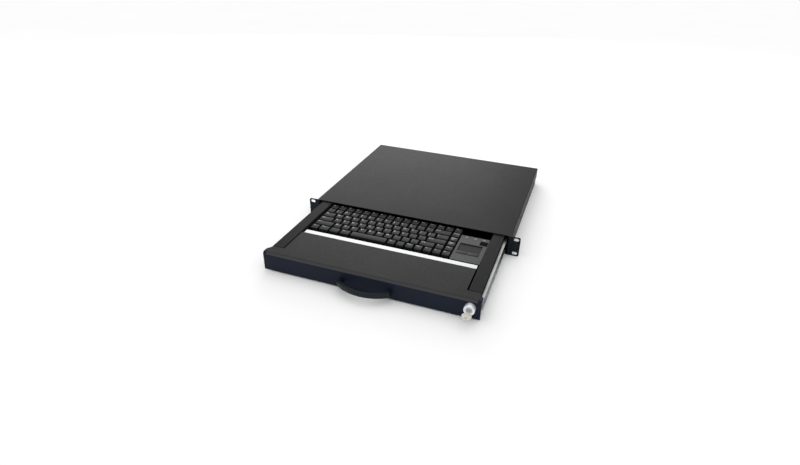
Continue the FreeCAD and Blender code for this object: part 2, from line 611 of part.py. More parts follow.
# Drawer tray: a shelled pan with bent long edges, low at both ends, and holes for lock, handle and screws.
tray = body()
pad(tray, "Z", "tray_bottom", "deck_under", rectangle("-tray_half", "tray_half", "face_back", "tray_rear"))
shelled(tray, "sheet_gauge", "+Z")
pocket(tray, "Y", "tray_rear - sheet_gauge + overcut", "tray_rear",
       rectangle("-tray_in", "tray_in", "tray_bottom + tray_rear_height", "deck_under + overcut"))
pocket(tray, "X", "-tray_half", "tray_half",
       rectangle("face_back - overcut", "roll_back", "roll_level", "deck_under + overcut"))
rounded(tray, "bend_inside", "Y", x=["-tray_in", "tray_in"], z=["tray_floor"])
pocket(tray, "Y", "face_back", "front_wall", ("lock_across", "lock_level", "lock_body + lock_fit"),
       *[(across, "handle_level", "screw_hole") for across in HANDLE_FEET],
       *[(across, up, "screw_hole") for across, up in STUDS])
pocket(tray, "Z", "tray_bottom", "tray_floor",
       rectangle("lock_across - cam_reach + cam_notch_play", "lock_across + cam_half + cam_notch_play",
                 "cam_front - cam_notch_play", "cam_back + cam_notch_play"),
       *[(across, along, "screw_hole") for across, along in BOARD_SCREWS])
pocket(tray, "X", "-tray_half", "tray_half",
       *[(along, "slide_level", "screw_hole") for along in RUNNER_SCREWS])
node("drawer_tray", tray)

# Front fascia: a plate below the roll of the palm rest. Beside the palm rest it rolls back too and ends
# in a short wing over each slide, and four studs are welded to its rear.
fascia = body()
pad(fascia, "X", "-face_half", "face_half", [
    ("face_front", "-deck_top"), ("face_back", "-deck_top"),
    ("face_back", "roll_level", "rest_roll - face_gauge", 1), ("roll_back", "deck_top - face_gauge"),
    ("return_back", "deck_top - face_gauge"), ("return_back", "deck_top"),
    ("roll_back", "deck_top", "rest_roll", -1), ("face_front", "roll_level")])
WING = [("face_front", "deck_top - wing_height"), ("wing_back", "deck_top - wing_height - wing_fall"),
        ("wing_back", "deck_top"), ("roll_back", "deck_top", "rest_roll", -1), ("face_front", "roll_level")]
pad(fascia, "X", "face_half - face_gauge", "face_half", WING)
pad(fascia, "X", "-face_half", "face_gauge - face_half", WING)
pocket(fascia, "Y", "face_front", "return_back",
       rectangle("-tray_half", "tray_half", "roll_level - roll_seam", "deck_top + overcut"))
pocket(fascia, "Z", "-deck_top", "deck_top", *[
    [("%s*tray_half" % side, "return_back"), ("%s*face_half" % side, "wing_back"),
     ("%s*(face_half + overcut)" % side, "wing_back"),
     ("%s*(face_half + overcut)" % side, "return_back + overcut"),
     ("%s*tray_half" % side, "return_back + overcut")] for side in ("1", "-1")])
rounded(fascia, "face_edge", "Z", x=["-face_half", "face_half"], y=["face_front"])
pad(fascia, "Y", "face_back", "face_back + stud_length",
    *[(across, up, "screw_shank") for across, up in STUDS])
pocket(fascia, "Y", "face_front", "face_back", ("lock_across", "lock_level", "lock_body + lock_fit"),
       *[(across, "handle_level", "screw_hole") for across in HANDLE_FEET])
node("front_fascia", fascia)
node("fascia_nuts", grouped(*[nut(across, "front_wall", up, "stud_nut_corner", "stud_nut_high",
                                  "screw_shank + thread_fit")
                              for across, up in STUDS]))

# Palm rest: a sheet that rolls down at its front edge and is bent down to the tray floor at its rear one,
# cut narrower between the side covers.
rest = body()
pad(rest, "X", "-tray_half", "tray_half", [
    ("face_front", "roll_level"), ("face_front + sheet_gauge", "roll_level", "rest_roll - sheet_gauge", 1),
    ("roll_back", "deck_under"), ("strip_front - sheet_gauge", "deck_under"),
    ("strip_front - sheet_gauge", "tray_floor"), ("strip_front", "tray_floor"), ("strip_front", "deck_top"),
    ("roll_back", "deck_top", "rest_roll", -1)])
pocket(rest, "Z", "tray_floor", "deck_top", *[
    rectangle("%s*rest_half" % side, "%s*(tray_half + overcut)" % side, "bar_front - bar_seam",
              "strip_front + overcut") for side in ("1", "-1")])
rounded(rest, "bend_inside", "X", y=["strip_front - sheet_gauge"], z=["deck_under"])
node("palm_rest", rest)

# Trim strip: a bright angle section on the tray floor, a little below the palm rest and level with the keys.
strip = body()
pad(strip, "X", "-strip_half", "strip_half", [
    ("strip_front", "strip_top - strip_gauge"), ("strip_back - strip_gauge", "strip_top - strip_gauge"),
    ("strip_back - strip_gauge", "tray_floor"), ("strip_back", "tray_floor"), ("strip_back", "strip_top"),
    ("strip_front", "strip_top")])
rounded(strip, "strip_edge", "X", y=["strip_front", "strip_back"], z=["strip_top"])
node("trim_strip", strip)

# Side covers: bent bars that close the deck over the slides.
bar = body()
pad(bar, "Y", "bar_front", "bar_back", [
    ("bar_inner", "tray_floor"), ("bar_inner + sheet_gauge", "tray_floor"),
    ("bar_inner + sheet_gauge", "deck_under"),
    ("tray_half", "deck_under"), ("tray_half", "deck_top"), ("bar_inner", "deck_top")])
rounded(bar, "bend_outside", "Y", x=["bar_inner"], z=["deck_top"])
node("right_side_cover", bar)
node("left_side_cover", mirrored(bar))

# Pull handle: a bowed band on two posts, with turned shoulders and all its long edges rounded.
handle = body()
pad(handle, "Z", "handle_level - handle_height/2", "handle_level + handle_height/2", [
    ("-handle_out", "face_front"), ("-handle_out", "face_front - handle_shoulder", "bow_outside", -1),
    ("handle_out", "face_front - handle_shoulder"), ("handle_out", "face_front"),
    ("handle_in", "face_front"), ("handle_in", "face_front - handle_shoulder + handle_band", "bow_inside", 1),
    ("-handle_in", "face_front - handle_shoulder + handle_band"), ("-handle_in", "face_front")])
rounded(handle, "handle_turn", "Z", x=["-handle_out", "handle_out"], y=["face_front - handle_shoulder"])
rounded(handle, "handle_turn - handle_post/2", "Z", x=["-handle_in", "handle_in"],
        y=["face_front - handle_shoulder + handle_band"])
doc.recompute()
bow = handle.Tip
rims = ["Edge%d" % index for index, edge in enumerate(bow.Shape.Edges, 1)
        if edge.BoundBox.ZLength < 1e-6 and edge.BoundBox.YLength > 1e-6]
softened = handle.newObject("PartDesign::Fillet", "Rounding")
softened.Base = (bow, rims)
set_sizes(softened, Radius="handle_edge")
for foot in HANDLE_FEET:
    sink_back = handle.newObject("PartDesign::Pocket", "Thread")
    sink_back.Profile = drawing(handle, "Y", "face_front + overcut",
                                [(foot, "handle_level", "screw_shank + thread_fit")])
    sink_back.Reversed = True
    set_sizes(sink_back, Length="handle_bite + 2*thread_fit + overcut")
node("pull_handle", handle)
HANDLE_SCREW = "face_gauge + sheet_gauge + handle_bite"
node("handle_screws", grouped(*[screw("Y", 1, foot, "front_wall", "handle_level", HANDLE_SCREW)
                                for foot in HANDLE_FEET]))

# Lock barrel: turned, with a chamfered flange in front of the fascia.
barrel = body()
half = drawing(barrel, "Z", "lock_level", [[
    ("plug_radius + plug_play", "face_front - lock_proud"),
    ("lock_flange - lock_chamfer", "face_front - lock_proud"),
    ("lock_flange", "face_front - lock_proud + lock_chamfer"), ("lock_flange", "face_front"),
    ("lock_body", "face_front"),
    ("lock_body", "barrel_tail"), ("plug_radius + plug_play", "barrel_tail")]])
half.setExpression("AttachmentOffset.Base.x", bound("lock_across"))
turned = barrel.newObject("PartDesign::Revolution", "Turned")
turned.Profile = half
turned.ReferenceAxis = (half, ["V_Axis"])
node("lock_barrel", barrel)
node("lock_nut", nut("lock_across", "front_wall", "lock_level", "nut_corner", "nut_height",
                     "lock_body + thread_fit"))

# Lock core: plug with a keyway, the key in it, and a cam on its rear end.
plug = body()
pad(plug, "Y", "plug_front", "cam_front", ("lock_across", "lock_level", "plug_radius"))
sink(plug, "Y", "plug_front", "keyway_deep",
     rectangle("lock_across - keyway_half", "lock_across + keyway_half",
               "lock_level - keyway_high", "lock_level + keyway_high"))
thread = plug.newObject("PartDesign::Pocket", "Thread")
thread.Profile = drawing(plug, "Y", "cam_front + overcut",
                         [("lock_across", "lock_level", "screw_shank + thread_fit")])
thread.Reversed = True
set_sizes(thread, Length="cam_screw_bite + 2*thread_fit + overcut")
node("lock_plug", plug)
key = body()
pad(key, "Z", "lock_level - key_high", "lock_level + key_high", ("lock_across", "key_middle", "key_bow"))
near = ["plug_front + %d*key_notch_pitch" % step for step in range(1, 5)]
blade = [("lock_across - key_half", "key_middle"), ("lock_across + key_half", "key_middle")]
for depth, along in zip((0.6, 1.0, 0.5, 0.8), near):
    blade += [("lock_across + key_half", along + " - key_notch"),
              ("lock_across + key_half - %s*key_notch" % depth, along),
              ("lock_across + key_half", along + " + key_notch")]
blade += [("lock_across + key_half", "key_tip - key_notch"), ("lock_across", "key_tip"),
          ("lock_across - key_half", "key_tip - key_notch")]
pad(key, "Z", "lock_level - key_high", "lock_level + key_high", blade)
pocket(key, "Z", "lock_level - key_high", "lock_level + key_high",
       ("lock_across", "key_middle - key_eye_ahead", "key_eye"))
node("lock_key", key)
cam = body()
pad(cam, "Y", "cam_front", "cam_back", ("lock_across", "lock_level", "cam_hub"))
pad(cam, "Y", "cam_front", "cam_back",
    rectangle("lock_across - cam_reach", "lock_across", "lock_level - cam_half", "lock_level + cam_half"))
pocket(cam, "Y", "cam_front", "cam_back", ("lock_across", "lock_level", "screw_shank + thread_fit"))
node("lock_cam", cam)
node("cam_screw", screw("Y", 1, "lock_across", "cam_back", "lock_level", "cam_gauge + cam_screw_bite"))

# Lock catch: an angle on the case floor that the turned cam reaches behind when the drawer is shut.
catch = body()
pad(catch, "X", "lock_across - catch_half", "lock_across + catch_half", [
    ("catch_back - catch_gauge", "floor_top"), ("catch_back + catch_foot", "floor_top"),
    ("catch_back + catch_foot", "floor_top + catch_gauge"), ("catch_back", "floor_top + catch_gauge"),
    ("catch_back", "tray_bottom - catch_clear"), ("catch_back - catch_gauge", "tray_bottom - catch_clear")])
node("lock_catch", catch)

# Keyboard base: a moulded shell on the tray floor, with a shelf for the membrane and four screw bosses.
base = body()
INNER = rectangle("board_left + board_wall", "board_right - board_wall", "board_front + board_wall",
                  "board_back - board_wall")
pad(base, "Z", "tray_floor", "plate_under",
    rectangle("board_left", "board_right", "board_front", "board_back"))
sink(base, "Z", "plate_under", "plate_under - shelf_top", INNER)
hollow = base.newObject("PartDesign::Pocket", "Hollow")
hollow.Profile = drawing(base, "Z", "tray_floor - overcut", [INNER])
hollow.Reversed = True
set_sizes(hollow, Length="shelf_under - tray_floor + overcut")
pad(base, "Z", "tray_floor", "shelf_under",
    *[(across, along, "boss_radius") for across, along in BOARD_SCREWS])
bores = base.newObject("PartDesign::Pocket", "Bores")
bores.Profile = drawing(base, "Z", "tray_floor - overcut",
                        [(across, along, "screw_shank + thread_fit") for across, along in BOARD_SCREWS])
bores.Reversed = True
set_sizes(bores, Length="boss_bite + 2*thread_fit + overcut")
node("keyboard_base", base)
node("keyboard_screws", grouped(*[screw("Z", -1, across, along, "tray_bottom", "sheet_gauge + boss_bite")
                                  for across, along in BOARD_SCREWS]))
node("switch_membrane", block(("board_left + board_wall + membrane_play",
                               "board_right - board_wall - membrane_play"),
                              ("board_front + board_wall + membrane_play",
                               "board_back - board_wall - membrane_play"),
                              ("shelf_top", "membrane_top")))
node("controller_board", block(("keys_left + keys_width/2 - logic_length/2",
                                "keys_left + keys_width/2 + logic_length/2"),
                               ("keys_front + 3*key_pitch - logic_width/2",
                                "keys_front + 3*key_pitch + logic_width/2"),
                               ("shelf_under - logic_gauge", "shelf_under")))

# Keys, as runs of like keys: row from the front, left edge and width in key units, how many, and
# which way they repeat.
KEYS = {
    "escape_key": [(5, 0, 1, 1, "X")],
    "function_row_keys": [(5, 1, 1, 15, "X")],
    "number_row_keys": [(4, 0, 1, 13, "X")],
    "backspace_key": [(4, 13, 2, 1, "X")],
    "tab_key": [(3, 0, 1.5, 1, "X")],
    "upper_letter_row_keys": [(3, 1.5, 1, 12, "X"), (3, 13.5, 1.5, 1, "X")],
    "caps_lock_key": [(2, 0, 1.75, 1, "X")],
    "home_letter_row_keys": [(2, 1.75, 1, 11, "X")],
    "enter_key": [(2, 12.75, 2.25, 1, "X")],
    "left_shift_key": [(1, 0, 2.25, 1, "X")],
    "lower_letter_row_keys": [(1, 2.25, 1, 10, "X")],
    "right_shift_key": [(1, 12.25, 1.75, 1, "X")],
    "modifier_row_keys": [(0, 0, 1, 1, "X"), (0, 1, 1.25, 3, "X"), (0, 9, 1, 4, "X")],
    "space_bar": [(0, 4.75, 4.25, 1, "X")],
    "arrow_keys": [(0, 13, 1, 3, "X"), (1, 14, 1, 1, "X")],
    "navigation_column_keys": [(1, 15, 1, 4, "Y")],
}


def clipped(left, right, low, high):
    """Rectangle with its corners cut off."""
    c = "cap_corner"
    return [("%s + %s" % (left, c), low), ("%s - %s" % (right, c), low), (right, "%s + %s" % (low, c)),
            (right, "%s - %s" % (high, c)),
            ("%s - %s" % (right, c), high), ("%s + %s" % (left, c), high), (left, "%s - %s" % (high, c)),
            (left, "%s + %s" % (low, c))]


def middle(row, left, units):
    return "(keys_left + %s*key_pitch)" % (left + units / 2), "(keys_front + %s*key_pitch)" % (row + 0.5)


def run_of(features_of, owner, row, left, units, count, axis):
    """Features of the first key of a run, repeated for the rest of it."""
    features = features_of(owner, *middle(row, left, units), units)
    if count > 1:
        repeated(owner, features, axis, "%s*key_pitch" % (units if axis == "X" else 1), count)


def keycap(owner, across, along, units):
    """Tapered cap with a dished top, lofted from skirt to top, on a square stem."""
    half = "(%s*key_pitch - key_gap)/2" % units
    deep = "(key_pitch - key_gap)/2"
    cap = owner.newObject("PartDesign::AdditiveLoft", "Cap")
    cap.Profile = drawing(owner, "Z", "key_skirt", [clipped(
        "%s - %s" % (across, half), "%s + %s" % (across, half), "%s - %s" % (along, deep),
        "%s + %s" % (along, deep))])
    cap.Sections = [drawing(owner, "Z", "key_top", [clipped(
        "%s - %s + cap_taper_side" % (across, half), "%s + %s - cap_taper_side" % (across, half),
        "%s - %s + cap_taper_front" % (along, deep), "%s + %s - cap_taper_back" % (along, deep))])]
    cap.Ruled = True
    features = [cap]
    stem = pad(owner, "Z", "stem_foot", "key_skirt", rectangle(
        across + " - stem_half", across + " + stem_half", along + " - stem_half", along + " + stem_half"))
    features.append(stem)
    if units < 4:
        chord = "(%s - cap_taper_side)" % half
        bow = "(%s*%s + cap_dish*cap_dish)/(2*cap_dish)" % (chord, chord)
        features.append(pocket(owner, "Y", "%s - %s" % (along, deep), "%s + %s" % (along, deep), [
            ("%s - %s" % (across, chord), "key_top + overcut"),
            ("%s - %s" % (across, chord), "key_top", bow, -1),
            ("%s + %s" % (across, chord), "key_top"), ("%s + %s" % (across, chord), "key_top + overcut")]))
    return features


def guide_outline(across, along):
    return rectangle(across + " - guide_half", across + " + guide_half", along + " - guide_half",
                     along + " + guide_half")


def guide(owner, across, along, units):
    return [pocket(owner, "Z", "plate_under", "plate_top", guide_outline(across, along))]


def as_cut(owner):
    """Keep the faces as they were made: there are none to merge."""
    for feature in owner.Group:
        if hasattr(feature, "Refine"):
            feature.Refine = False


plate = body()
pad(plate, "Z", "plate_under", "plate_top",
    rectangle("board_left", "board_right", "board_front", "board_back"))
for name, runs in KEYS.items():
    keys = body()
    for place in runs:
        run_of(keycap, keys, *place)
        if place[3] > 1:
            run_of(guide, plate, *place)
    as_cut(keys)
    node(name, keys)
pocket(plate, "Z", "plate_under", "plate_top",
       *[guide_outline(*middle(row, left, units)) for runs in KEYS.values()
                                                 for row, left, units, count, axis in runs if count == 1])
as_cut(plate)
node("key_plate", plate)

# Touchpad panel: a shelled cover with soft corners, a window, two button openings, lamp holes and a
# shallow recess.
panel = body()
pad(panel, "Z", "tray_floor", "key_top", rectangle("pad_left", "pad_right", "pad_front", "pad_back"))
shelled(panel, "pad_gauge", "-Z")
rounded(panel, "pad_edge", "Z", x=["pad_left", "pad_right"], y=["pad_front", "pad_back"])
BUTTONS = {"touchpad_left_button": ("window_left", "button_middle - button_land/2"),
           "touchpad_right_button": ("button_middle + button_land/2", "window_right")}
LAMPS = ["lamp_first + %d*lamp_pitch" % step for step in range(3)]
pocket(panel, "Z", "pad_under", "key_top",
       rectangle("window_left", "window_right", "window_front", "window_back"),
       *[rectangle(low, high, "button_front", "button_back") for low, high in BUTTONS.values()],
       *[rectangle(across + " - lamp_long/2", across + " + lamp_long/2", "lamp_row - lamp_wide/2",
                   "lamp_row + lamp_wide/2") for across in LAMPS])
sink(panel, "Z", "key_top", "recess_deep",
     rectangle("recess_right - recess_wide", "recess_right",
               "window_back + recess_front_gap", "pad_back - recess_back_edge"))
node("touchpad_bezel", panel)
node("indicator_lenses", grouped(*[block((across + " - lamp_long/2", across + " + lamp_long/2"),
                                         ("lamp_row - lamp_wide/2", "lamp_row + lamp_wide/2"),
                                         ("pad_under", "key_top + lamp_proud")) for across in LAMPS]))
FILM_X = ("window_left - film_lap", "window_right + film_lap")
node("touchpad_surface", block(FILM_X, ("window_front", "window_back + film_lap"),
                               ("board_top", "pad_under")))
node("touchpad_board", block(FILM_X, ("button_front - board_front_edge", "window_back + board_back_edge"),
                             ("board_top - board_gauge", "board_top")))
for name, (low, high) in BUTTONS.items():
    node(name, block((low + " + button_play", high + " - button_play"),
                     ("button_front + button_play", "button_back - button_play"),
                     ("board_top + button_travel + button_clear", "key_top + button_proud")))

doc.recompute()
faults = [item.Name for item in doc.Objects if "Invalid" in item.State or "Error" in item.State]
faults += [item.Label for item in nodes if item.Shape.isNull() or not item.Shape.isValid()]
if faults:
    raise SystemExit("not sound: " + ", ".join(faults))
for item in nodes:
    item.Shape.exportStep("parts/%s.step" % item.Label)
print(len(nodes), "nodes written")
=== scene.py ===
import math

import bmesh
import bpy
from mathutils import Matrix, Vector


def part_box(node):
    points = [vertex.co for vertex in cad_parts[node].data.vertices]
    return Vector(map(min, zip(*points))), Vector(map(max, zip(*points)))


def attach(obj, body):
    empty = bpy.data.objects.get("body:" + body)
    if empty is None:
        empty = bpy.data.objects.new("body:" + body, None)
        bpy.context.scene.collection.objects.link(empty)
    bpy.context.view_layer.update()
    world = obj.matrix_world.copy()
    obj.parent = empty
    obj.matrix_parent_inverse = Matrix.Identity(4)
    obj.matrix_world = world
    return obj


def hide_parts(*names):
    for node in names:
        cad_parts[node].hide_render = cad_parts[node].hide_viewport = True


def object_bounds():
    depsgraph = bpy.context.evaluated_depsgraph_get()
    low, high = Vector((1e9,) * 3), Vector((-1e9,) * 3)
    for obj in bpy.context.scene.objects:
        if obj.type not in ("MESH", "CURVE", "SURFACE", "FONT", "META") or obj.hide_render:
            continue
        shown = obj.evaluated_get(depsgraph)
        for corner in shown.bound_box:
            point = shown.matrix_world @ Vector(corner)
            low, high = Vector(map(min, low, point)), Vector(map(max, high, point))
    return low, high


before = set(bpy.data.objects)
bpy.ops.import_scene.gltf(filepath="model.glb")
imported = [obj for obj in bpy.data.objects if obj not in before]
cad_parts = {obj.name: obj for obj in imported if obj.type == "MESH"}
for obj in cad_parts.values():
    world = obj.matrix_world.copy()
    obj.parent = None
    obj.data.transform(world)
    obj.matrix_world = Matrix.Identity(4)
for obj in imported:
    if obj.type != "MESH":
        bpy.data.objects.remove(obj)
cad_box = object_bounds()

# Case: a folded sheet-steel pan with a cover bent down over its sides.
# Both have a fine-textured dark powder coat, sprayed on and baked, with a slight orange peel.
NOISE_LOW = 0.3
NOISE_HIGH = 0.7


def nodes_of(name):
    """A new material with its node tree, its shader and its Object coordinates."""
    material = bpy.data.materials.new(name)
    material.use_nodes = True
    tree = material.node_tree
    shader = tree.nodes["Principled BSDF"]
    place = tree.nodes.new("ShaderNodeTexCoord").outputs["Object"]
    return material, tree, shader, place


def noise_on(tree, place, scale, detail=3.0, stretch=None):
    """Noise value, finer along some axes where a stretch is given."""
    if stretch:
        mapping = tree.nodes.new("ShaderNodeMapping")
        mapping.inputs["Scale"].default_value = stretch
        tree.links.new(place, mapping.inputs["Vector"])
        place = mapping.outputs["Vector"]
    noise = tree.nodes.new("ShaderNodeTexNoise")
    noise.inputs["Scale"].default_value = scale
    noise.inputs["Detail"].default_value = detail
    tree.links.new(place, noise.inputs["Vector"])
    return noise.outputs["Fac"]


def spread_between(tree, socket, value, low, high):
    """Noise value turned into a range of colours, or of numbers, for a socket of the shader."""
    if isinstance(low, tuple):
        ramp = tree.nodes.new("ShaderNodeValToRGB")
        ends = ramp.color_ramp.elements
        ends[0].position = NOISE_LOW
        ends[1].position = NOISE_HIGH
        ends[0].color = low + (1.0,)
        ends[1].color = high + (1.0,)
        tree.links.new(value, ramp.inputs["Fac"])
        tree.links.new(ramp.outputs["Color"], socket)
        return
    band = tree.nodes.new("ShaderNodeMapRange")
    band.inputs["From Min"].default_value = NOISE_LOW
    band.inputs["From Max"].default_value = NOISE_HIGH
    band.inputs["To Min"].default_value = low
    band.inputs["To Max"].default_value = high
    tree.links.new(value, band.inputs["Value"])
    tree.links.new(band.outputs["Result"], socket)


def cloud(tree, socket, place, scale, low, high):
    """Let a socket of the shader wander between two values, in clouds of a fineness."""
    spread_between(tree, socket, noise_on(tree, place, scale), low, high)


def shade(colour, share):
    """A colour made darker or lighter by a share."""
    return tuple(share * part for part in colour)


def relief(tree, shader, value, height, strength):
    """Fine relief that is too small to model, its height in metres."""
    bump = tree.nodes.new("ShaderNodeBump")
    bump.inputs["Distance"].default_value = height
    bump.inputs["Strength"].default_value = strength
    tree.links.new(value, bump.inputs["Height"])
    tree.links.new(bump.outputs["Normal"], shader.inputs["Normal"])


def powder_coat(name, colour, rough, gloss, grain=1400.0, depth=0.35):
    """Sprayed coat: fine stipple, soft clouds of tone and small changes of gloss."""
    material, tree, shader, place = nodes_of(name)
    cloud(tree, shader.inputs["Base Color"], place, scale=9.0,
          low=shade(colour, 0.86), high=shade(colour, 1.14))
    cloud(tree, shader.inputs["Roughness"], place, scale=240.0, low=rough - 0.05, high=rough + 0.05)
    relief(tree, shader, noise_on(tree, place, grain, detail=2.0), height=0.00012, strength=depth)
    shader.inputs["Specular IOR Level"].default_value = gloss
    return material


def dress(material, *names):
    """Give CAD nodes a finish in place of their plain one."""
    for name in names:
        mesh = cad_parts[name].data
        mesh.materials.clear()
        mesh.materials.append(material)


case_coat = powder_coat("case_powder_coat", (0.0160, 0.0160, 0.0163),
                        rough=0.44, gloss=0.06, grain=520.0, depth=0.5)
dress(case_coat, "top_cover")
pan_coat = powder_coat("pan_powder_coat", (0.0145, 0.0150, 0.0160), rough=0.5, gloss=0.12)
dress(pan_coat, "base_pan", "lock_catch")

# Rack ears: two pressed steel angles with open slots, screwed to the case sides.
# Satin blue-black paint, smoother than the coat of the cover.
ear_paint = powder_coat("ear_paint", (0.0055, 0.0092, 0.0145),
                        rough=0.45, gloss=0.12, grain=2200.0, depth=0.2)
dress(ear_paint, "left_rack_ear", "right_rack_ear")

# Screws: pressed pan heads with a cross recess on plain shanks, zinc-plated or blackened.
# They hold the ears, the cover, the slides, the handle, the keyboard and the lock cam.
HEAD_RADIUS = 0.0036
HEAD_HEIGHT = 0.0016
HEAD_DOME = [(0.0, HEAD_HEIGHT), (0.0016, 0.00152), (0.0027, 0.00122), (0.0033, 0.00080),
             (HEAD_RADIUS, 0.00028)]
SHANK_RADIUS = 0.0020
SHANK_CHAMFER = 0.0003
EAR_BITE = 0.0032
SHEET_BITE = 0.0024
CROSS_LONG = 0.0036
CROSS_WIDE = 0.00075
CROSS_DEPTH = 0.0008
CROSS_TAPER = 0.6
# Turn of the first cross, and from each cross to the next, so that they don't stand in line.
FIRST_TURN = 0.7
NEXT_TURN = 1.9
WELD = 1e-6
TOWARD = {
    "+X": Matrix.Rotation(math.radians(90), 4, "Y"),
    "-X": Matrix.Rotation(math.radians(-90), 4, "Y"),
    "+Y": Matrix.Rotation(math.radians(-90), 4, "X"),
    "-Z": Matrix.Rotation(math.radians(180), 4, "X"),
}


def plated_steel(name, colour, rough):
    """Zinc or oxide finish with faint cloudy spangle and tool marks."""
    material, tree, shader, place = nodes_of(name)
    cloud(tree, shader.inputs["Base Color"], place, scale=700.0, low=shade(colour, 0.8), high=colour)
    cloud(tree, shader.inputs["Roughness"], place, scale=1500.0, low=rough - 0.08, high=rough + 0.08)
    shader.inputs["Metallic"].default_value = 1.0
    relief(tree, shader, noise_on(tree, place, 2600.0, detail=2.0), height=0.00004, strength=0.3)
    return material


def mesh_from(shape, name):
    """Turn a bmesh into a mesh."""
    mesh = bpy.data.meshes.new(name)
    shape.to_mesh(mesh)
    shape.free()
    return mesh


def put_in_scene(name, data):
    """A new object at the origin."""
    item = bpy.data.objects.new(name, data)
    bpy.context.scene.collection.objects.link(item)
    return item


def clean(shape):
    """Merge doubles and turn the faces outwards."""
    bmesh.ops.remove_doubles(shape, verts=shape.verts, dist=WELD)
    bmesh.ops.recalc_face_normals(shape, faces=shape.faces)


def piece_from(shape, name, material, body, slot, *replaced):
    """Finish a bmesh as a piece that rides on a body and stands for CAD nodes."""
    clean(shape)
    mesh = mesh_from(shape, name)
    mesh.materials.append(material)
    item = put_in_scene(name, mesh)
    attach(item, body)
    if replaced:
        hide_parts(*replaced)
    return item


def smooth_by_angle(item, degrees):
    """Shade a piece smooth, with edges left sharp from an angle on."""
    item.data.shade_smooth()
    item.data.set_sharp_from_angle(angle=math.radians(degrees))


def turned(profile, steps):
    """Full turn of a profile, radius and height, about Z."""
    shape = bmesh.new()
    dots = [shape.verts.new((radius, 0.0, height)) for radius, height in profile]
    edges = [shape.edges.new(pair) for pair in zip(dots, dots[1:])]
    bmesh.ops.spin(shape, geom=dots + edges, cent=(0, 0, 0), axis=(0, 0, 1), angle=2 * math.pi,
                   steps=steps, use_merge=True, use_duplicate=False)
    clean(shape)
    return shape


def block(shape, size, middle):
    """Add a block with its middle at a point, and give back its corners."""
    corners = bmesh.ops.create_cube(shape, size=1.0)["verts"]
    bmesh.ops.scale(shape, vec=size, verts=corners)
    bmesh.ops.translate(shape, vec=middle, verts=corners)
    return corners


def result_mesh(item):
    """Mesh that an object comes to, with its modifiers or its letters worked out."""
    bpy.context.view_layer.update()
    result = item.evaluated_get(bpy.context.evaluated_depsgraph_get())
    return bpy.data.meshes.new_from_object(result)


def add_copy(shape, mesh):
    """Add a mesh to a bmesh, and give back its new points."""
    first = len(shape.verts)
    shape.from_mesh(mesh)
    shape.verts.ensure_lookup_table()
    return shape.verts[first:]


def screw_mesh(bite):
    """One screw, head up, its seat at the origin, with the cross cut into its head."""
    under_head = [(HEAD_RADIUS, 0.0), (SHANK_RADIUS, 0.0)]
    tip = [(SHANK_RADIUS, SHANK_CHAMFER - bite), (SHANK_RADIUS - SHANK_CHAMFER, -bite), (0.0, -bite)]
    shape = turned(HEAD_DOME + under_head + tip, steps=24)
    cross = bmesh.new()
    for length, width in ((CROSS_LONG, CROSS_WIDE), (CROSS_WIDE, CROSS_LONG)):
        arm = block(cross, (length, width, 2 * CROSS_DEPTH), (0, 0, HEAD_HEIGHT))
        foot = [vert for vert in arm if vert.co.z < HEAD_HEIGHT]
        bmesh.ops.scale(cross, vec=(CROSS_TAPER, CROSS_TAPER, 1.0), verts=foot)
    blank = put_in_scene("screw_blank", mesh_from(shape, "screw_blank"))
    cutter = put_in_scene("screw_cross", mesh_from(cross, "screw_cross"))
    cut = blank.modifiers.new("recess", "BOOLEAN")
    cut.object = cutter
    cut.operation = "DIFFERENCE"
    cut.solver = "EXACT"
    cut.use_self = True
    done = result_mesh(blank)
    for item in (blank, cutter):
        bpy.data.objects.remove(item)
    return done


def screws(node, body, slot, material, bite, seats):
    """Screws at their seats, each given by the way that its head faces and the point under it."""
    blank = screw_mesh(bite)
    shape = bmesh.new()
    for number, (way, x, y, z) in enumerate(seats):
        turn = Matrix.Rotation(FIRST_TURN + NEXT_TURN * number, 4, "Z")
        place = Matrix.Translation((x, y, z)) @ TOWARD[way] @ turn
        bmesh.ops.transform(shape, matrix=place, verts=add_copy(shape, blank))
    bpy.data.meshes.remove(blank)
    item = piece_from(shape, node + "_cross_head", material, body, slot, node)
    smooth_by_angle(item, degrees=35)


def between(low, high, count):
    """Places for screws side by side whose heads fill a span."""
    first, last = low + HEAD_RADIUS, high - HEAD_RADIUS
    if count == 1:
        return [(first + last) / 2]
    return [first + (last - first) * step / (count - 1) for step in range(count)]


def side_screws(node, body, slot, material, bite, heads_out, along, up):
    """Screws that stand across both sides, heads out or heads in, so many along and so many up."""
    low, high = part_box(node)
    seat = high.x - (HEAD_HEIGHT if heads_out else bite)
    ways = ((1, "+X"), (-1, "-X")) if heads_out else ((1, "-X"), (-1, "+X"))
    seats = [(way, side * seat, y, z) for side, way in ways
             for y in between(low.y, high.y, along) for z in between(low.z, high.z, up)]
    screws(node, body, slot, material, bite, seats)


